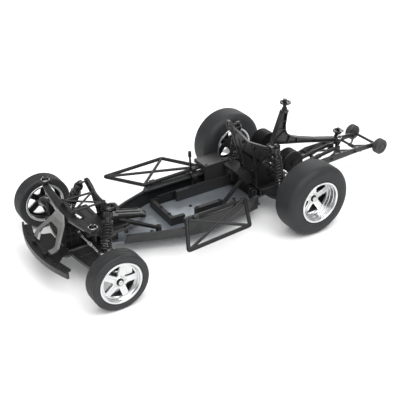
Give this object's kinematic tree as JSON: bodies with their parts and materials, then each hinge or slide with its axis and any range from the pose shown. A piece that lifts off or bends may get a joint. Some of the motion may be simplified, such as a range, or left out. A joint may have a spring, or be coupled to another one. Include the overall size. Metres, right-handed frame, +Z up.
{
  "type": "model car chassis",
  "caption": "Rolling chassis of a 1/10 model drag car without its body: open tray, side frames, sprung and steered front end, big rear slicks, wheelie bar with rollers.",
  "frame": {"origin": "bottom centre of the whole car's box, on the ground between the wheels", "axes": "+X towards the nose, +Y to the car's left, +Z up"},
  "size_m": [0.6414, 0.2744, 0.1712],
  "materials": {
    "chassis_alloy": "satin grey-blue anodised plate",
    "grey_brace": "satin grey",
    "tyre_rubber": "matt charcoal rubber with fine circumferential marks",
    "roller_rubber": "matt black",
    "plated_rim": "bright satin plating on plastic",
    "bright_steel": "polished",
    "dark_steel": "blackened",
    "spring_steel": "black coated wire",
    "shock_plastic": "black moulded, slightly glossy",
    "black_plastic": "black glass-filled moulding, semi-matt"
  },
  "bodies": {
    "chassis": {"chassis_plate": "chassis_alloy", "side_guard_left": "black_plastic", "side_guard_right": "black_plastic", "side_frame_left": "black_plastic", "side_frame_right": "black_plastic", "front_bumper": "black_plastic", "front_brace": "grey_brace", "front_body_crossbar": "black_plastic", "front_bulkhead": "black_plastic", "front_shock_tower": "black_plastic", "electronics_tray": "black_plastic", "rear_deck": "black_plastic", "gearbox": "black_plastic", "gear_cover": "black_plastic", "rear_shock_tower": "black_plastic", "rear_body_mount": "black_plastic", "wheelie_bar": "black_plastic"},
    "steering_rack": {"steering_rack": "black_plastic"},
    "front_arm_left": {"front_arm_left": "black_plastic"},
    "front_carrier_left": {"front_carrier_left": "black_plastic"},
    "front_knuckle_left": {"front_knuckle_left": "black_plastic"},
    "front_wheel_left": {"front_rim_left": "plated_rim", "front_tyre_left": "tyre_rubber"},
    "front_camber_link_left": {"front_camber_link_left": "bright_steel"},
    "front_shock_body_left": {"front_shock_body_left": "shock_plastic", "front_spring_left": "spring_steel"},
    "front_shock_shaft_left": {"front_shock_shaft_left": "bright_steel"},
    "steering_crank_left": {"steering_crank_left": "black_plastic"},
    "tie_rod_left": {"tie_rod_left": "bright_steel"},
    "rear_arm_left": {"rear_arm_left": "black_plastic"},
    "rear_hub_left": {"rear_hub_left": "black_plastic"},
    "rear_wheel_left": {"rear_rim_left": "plated_rim", "rear_tyre_left": "tyre_rubber"},
    "rear_camber_link_left": {"rear_camber_link_left": "bright_steel"},
    "rear_shock_body_left": {"rear_shock_body_left": "shock_plastic", "rear_spring_left": "spring_steel"},
    "rear_shock_shaft_left": {"rear_shock_shaft_left": "bright_steel"},
    "driveshaft_left": {"driveshaft_left": "dark_steel"},
    "wheelie_wheel_left": {"wheelie_wheel_left": "roller_rubber"},
    "front_arm_right": {"front_arm_right": "black_plastic"},
    "front_carrier_right": {"front_carrier_right": "black_plastic"},
    "front_knuckle_right": {"front_knuckle_right": "black_plastic"},
    "front_wheel_right": {"front_rim_right": "plated_rim", "front_tyre_right": "tyre_rubber"},
    "front_camber_link_right": {"front_camber_link_right": "bright_steel"},
    "front_shock_body_right": {"front_shock_body_right": "shock_plastic", "front_spring_right": "spring_steel"},
    "front_shock_shaft_right": {"front_shock_shaft_right": "bright_steel"},
    "steering_crank_right": {"steering_crank_right": "black_plastic"},
    "tie_rod_right": {"tie_rod_right": "bright_steel"},
    "rear_arm_right": {"rear_arm_right": "black_plastic"},
    "rear_hub_right": {"rear_hub_right": "black_plastic"},
    "rear_wheel_right": {"rear_rim_right": "plated_rim", "rear_tyre_right": "tyre_rubber"},
    "rear_camber_link_right": {"rear_camber_link_right": "bright_steel"},
    "rear_shock_body_right": {"rear_shock_body_right": "shock_plastic", "rear_spring_right": "spring_steel"},
    "rear_shock_shaft_right": {"rear_shock_shaft_right": "bright_steel"},
    "driveshaft_right": {"driveshaft_right": "dark_steel"},
    "wheelie_wheel_right": {"wheelie_wheel_right": "roller_rubber"}
  },
  "joints": [
    {"name": "steering", "type": "hinge", "parent": "chassis", "child": "steering_crank_left", "pos_m": [0.2347, 0.019, 0.045], "axis": [0, 0, 1], "range_deg": [-25, 25]},
    {"name": "steering_crank_turn_right", "type": "hinge", "parent": "chassis", "child": "steering_crank_right", "pos_m": [0.2347, -0.019, 0.045], "axis": [0, 0, 1], "range_deg": [-25, 25]},
    {"name": "steering_rack_turn", "type": "hinge", "parent": "steering_crank_left", "child": "steering_rack", "pos_m": [0.2187, 0.019, 0.044], "axis": [0, 0, 1], "range_deg": [-25, 25]},
    {"name": "front_suspension_left", "type": "hinge", "parent": "chassis", "child": "front_arm_left", "pos_m": [0.2527, 0.017, 0.033], "axis": [1, 0, 0], "range_deg": [0, 12], "stiffness_Nm_per_rad": 2.5, "springref_deg": -17.19},
    {"name": "front_carrier_pivot_left", "type": "hinge", "parent": "front_arm_left", "child": "front_carrier_left", "pos_m": [0.2527, 0.085, 0.033], "axis": [1, 0, 0], "range_deg": [-12, 0]},
    {"name": "front_steer_left", "type": "hinge", "parent": "front_carrier_left", "child": "front_knuckle_left", "pos_m": [0.2527, 0.097, 0.043], "axis": [0, 0, 1], "range_deg": [-25, 25]},
    {"name": "front_wheel_spin_left", "type": "hinge", "parent": "front_knuckle_left", "child": "front_wheel_left", "pos_m": [0.2527, 0.1247, 0.04224], "axis": [0, 1, 0], "continuous": true},
    {"name": "front_camber_link_pivot_left", "type": "hinge", "parent": "chassis", "child": "front_camber_link_left", "pos_m": [0.2587, 0.022, 0.062], "axis": [1, 0, 0], "range_deg": [0, 12]},
    {"name": "front_shock_swing_left", "type": "hinge", "parent": "chassis", "child": "front_shock_body_left", "pos_m": [0.2217, 0.045, 0.1006], "axis": [1, 0, 0], "range_deg": [0, 1.04]},
    {"name": "front_shock_stroke_left", "type": "slide", "parent": "front_shock_body_left", "child": "front_shock_shaft_left", "axis": [-0.2879, -0.3182, 0.9032], "range_m": [0, 0.01003], "deforming": ["front_spring_left"]},
    {"name": "tie_rod_pivot_left", "type": "hinge", "parent": "steering_rack", "child": "tie_rod_left", "pos_m": [0.2187, 0.026, 0.044], "axis": [1, 0, 0], "range_deg": [0, 12]},
    {"name": "rear_suspension_left", "type": "hinge", "parent": "chassis", "child": "rear_arm_left", "pos_m": [-0.0873, 0.024, 0.033], "axis": [1, 0, 0], "range_deg": [0, 12], "stiffness_Nm_per_rad": 3.5, "springref_deg": -17.19},
    {"name": "rear_hub_pivot_left", "type": "hinge", "parent": "rear_arm_left", "child": "rear_hub_left", "pos_m": [-0.0873, 0.086, 0.033], "axis": [1, 0, 0], "range_deg": [-12, 0]},
    {"name": "rear_wheel_spin_left", "type": "hinge", "parent": "rear_hub_left", "child": "rear_wheel_left", "pos_m": [-0.0873, 0.1142, 0.0572], "axis": [0, 1, 0], "continuous": true},
    {"name": "rear_camber_link_pivot_left", "type": "hinge", "parent": "chassis", "child": "rear_camber_link_left", "pos_m": [-0.0773, 0.024, 0.076], "axis": [1, 0, 0], "range_deg": [0, 12]},
    {"name": "driveshaft_tilt_left", "type": "hinge", "parent": "chassis", "child": "driveshaft_left", "pos_m": [-0.0873, 0.0245, 0.0572], "axis": [1, 0, 0], "range_deg": [0, 13.8]},
    {"name": "rear_shock_swing_left", "type": "hinge", "parent": "chassis", "child": "rear_shock_body_left", "pos_m": [-0.0643, 0.05, 0.122], "axis": [1, 0, 0], "range_deg": [-0.52, 0]},
    {"name": "rear_shock_stroke_left", "type": "slide", "parent": "rear_shock_body_left", "child": "rear_shock_shaft_left", "axis": [0.0363, -0.1937, 0.9804], "range_m": [0, 0.00909], "deforming": ["rear_spring_left"]},
    {"name": "wheelie_wheel_spin_left", "type": "hinge", "parent": "chassis", "child": "wheelie_wheel_left", "pos_m": [-0.3073, 0.0344, 0.0508], "axis": [0, 1, 0], "continuous": true},
    {"name": "front_suspension_right", "type": "hinge", "parent": "chassis", "child": "front_arm_right", "pos_m": [0.2527, -0.017, 0.033], "axis": [-1, 0, 0], "range_deg": [0, 12], "stiffness_Nm_per_rad": 2.5, "springref_deg": -17.19},
    {"name": "front_carrier_pivot_right", "type": "hinge", "parent": "front_arm_right", "child": "front_carrier_right", "pos_m": [0.2527, -0.085, 0.033], "axis": [-1, 0, 0], "range_deg": [-12, 0]},
    {"name": "front_steer_right", "type": "hinge", "parent": "front_carrier_right", "child": "front_knuckle_right", "pos_m": [0.2527, -0.097, 0.043], "axis": [0, 0, 1], "range_deg": [-25, 25]},
    {"name": "front_wheel_spin_right", "type": "hinge", "parent": "front_knuckle_right", "child": "front_wheel_right", "pos_m": [0.2527, -0.1247, 0.04224], "axis": [0, 1, 0], "continuous": true},
    {"name": "front_camber_link_pivot_right", "type": "hinge", "parent": "chassis", "child": "front_camber_link_right", "pos_m": [0.2587, -0.022, 0.062], "axis": [-1, 0, 0], "range_deg": [0, 12]},
    {"name": "front_shock_swing_right", "type": "hinge", "parent": "chassis", "child": "front_shock_body_right", "pos_m": [0.2217, -0.045, 0.1006], "axis": [-1, 0, 0], "range_deg": [0, 1.04]},
    {"name": "front_shock_stroke_right", "type": "slide", "parent": "front_shock_body_right", "child": "front_shock_shaft_right", "axis": [-0.2879, 0.3182, 0.9032], "range_m": [0, 0.01003], "deforming": ["front_spring_right"]},
    {"name": "tie_rod_pivot_right", "type": "hinge", "parent": "steering_rack", "child": "tie_rod_right", "pos_m": [0.2187, -0.026, 0.044], "axis": [-1, 0, 0], "range_deg": [0, 12]},
    {"name": "rear_suspension_right", "type": "hinge", "parent": "chassis", "child": "rear_arm_right", "pos_m": [-0.0873, -0.024, 0.033], "axis": [-1, 0, 0], "range_deg": [0, 12], "stiffness_Nm_per_rad": 3.5, "springref_deg": -17.19},
    {"name": "rear_hub_pivot_right", "type": "hinge", "parent": "rear_arm_right", "child": "rear_hub_right", "pos_m": [-0.0873, -0.086, 0.033], "axis": [-1, 0, 0], "range_deg": [-12, 0]},
    {"name": "rear_wheel_spin_right", "type": "hinge", "parent": "rear_hub_right", "child": "rear_wheel_right", "pos_m": [-0.0873, -0.1142, 0.0572], "axis": [0, 1, 0], "continuous": true},
    {"name": "rear_camber_link_pivot_right", "type": "hinge", "parent": "chassis", "child": "rear_camber_link_right", "pos_m": [-0.0773, -0.024, 0.076], "axis": [-1, 0, 0], "range_deg": [0, 12]},
    {"name": "driveshaft_tilt_right", "type": "hinge", "parent": "chassis", "child": "driveshaft_right", "pos_m": [-0.0873, -0.0245, 0.0572], "axis": [-1, 0, 0], "range_deg": [0, 13.8]},
    {"name": "rear_shock_swing_right", "type": "hinge", "parent": "chassis", "child": "rear_shock_body_right", "pos_m": [-0.0643, -0.05, 0.122], "axis": [-1, 0, 0], "range_deg": [-0.52, 0]},
    {"name": "rear_shock_stroke_right", "type": "slide", "parent": "rear_shock_body_right", "child": "rear_shock_shaft_right", "axis": [0.0363, 0.1937, 0.9804], "range_m": [0, 0.00909], "deforming": ["rear_spring_right"]},
    {"name": "wheelie_wheel_spin_right", "type": "hinge", "parent": "chassis", "child": "wheelie_wheel_right", "pos_m": [-0.3073, -0.0344, 0.0508], "axis": [0, 1, 0], "continuous": true}
  ],
  "couplings": [
    {"joint": "steering_crank_turn_right", "follows": "steering", "ratio": 1},
    {"joint": "steering_rack_turn", "follows": "steering", "ratio": -1},
    {"joint": "front_carrier_pivot_left", "follows": "front_suspension_left", "ratio": -1},
    {"joint": "front_steer_left", "follows": "steering", "ratio": 1},
    {"joint": "front_camber_link_pivot_left", "follows": "front_suspension_left", "ratio": 1},
    {"joint": "front_shock_swing_left", "follows": "front_suspension_left", "ratio": 0.085},
    {"joint": "front_shock_stroke_left", "follows": "front_suspension_left", "m_per_rad": 0.046949},
    {"joint": "tie_rod_pivot_left", "follows": "front_suspension_left", "ratio": 0.95775},
    {"joint": "rear_hub_pivot_left", "follows": "rear_suspension_left", "ratio": -1},
    {"joint": "rear_camber_link_pivot_left", "follows": "rear_suspension_left", "ratio": 1},
    {"joint": "driveshaft_tilt_left", "follows": "rear_suspension_left", "ratio": 1.138},
    {"joint": "rear_shock_swing_left", "follows": "rear_suspension_left", "ratio": -0.0425},
    {"joint": "rear_shock_stroke_left", "follows": "rear_suspension_left", "m_per_rad": 0.042531},
    {"joint": "front_carrier_pivot_right", "follows": "front_suspension_right", "ratio": -1},
    {"joint": "front_steer_right", "follows": "steering", "ratio": 1},
    {"joint": "front_camber_link_pivot_right", "follows": "front_suspension_right", "ratio": 1},
    {"joint": "front_shock_swing_right", "follows": "front_suspension_right", "ratio": 0.085},
    {"joint": "front_shock_stroke_right", "follows": "front_suspension_right", "m_per_rad": 0.046949},
    {"joint": "tie_rod_pivot_right", "follows": "front_suspension_right", "ratio": 0.95775},
    {"joint": "rear_hub_pivot_right", "follows": "rear_suspension_right", "ratio": -1},
    {"joint": "rear_camber_link_pivot_right", "follows": "rear_suspension_right", "ratio": 1},
    {"joint": "driveshaft_tilt_right", "follows": "rear_suspension_right", "ratio": 1.138},
    {"joint": "rear_shock_swing_right", "follows": "rear_suspension_right", "ratio": -0.0425},
    {"joint": "rear_shock_stroke_right", "follows": "rear_suspension_right", "m_per_rad": 0.042531}
  ]
}
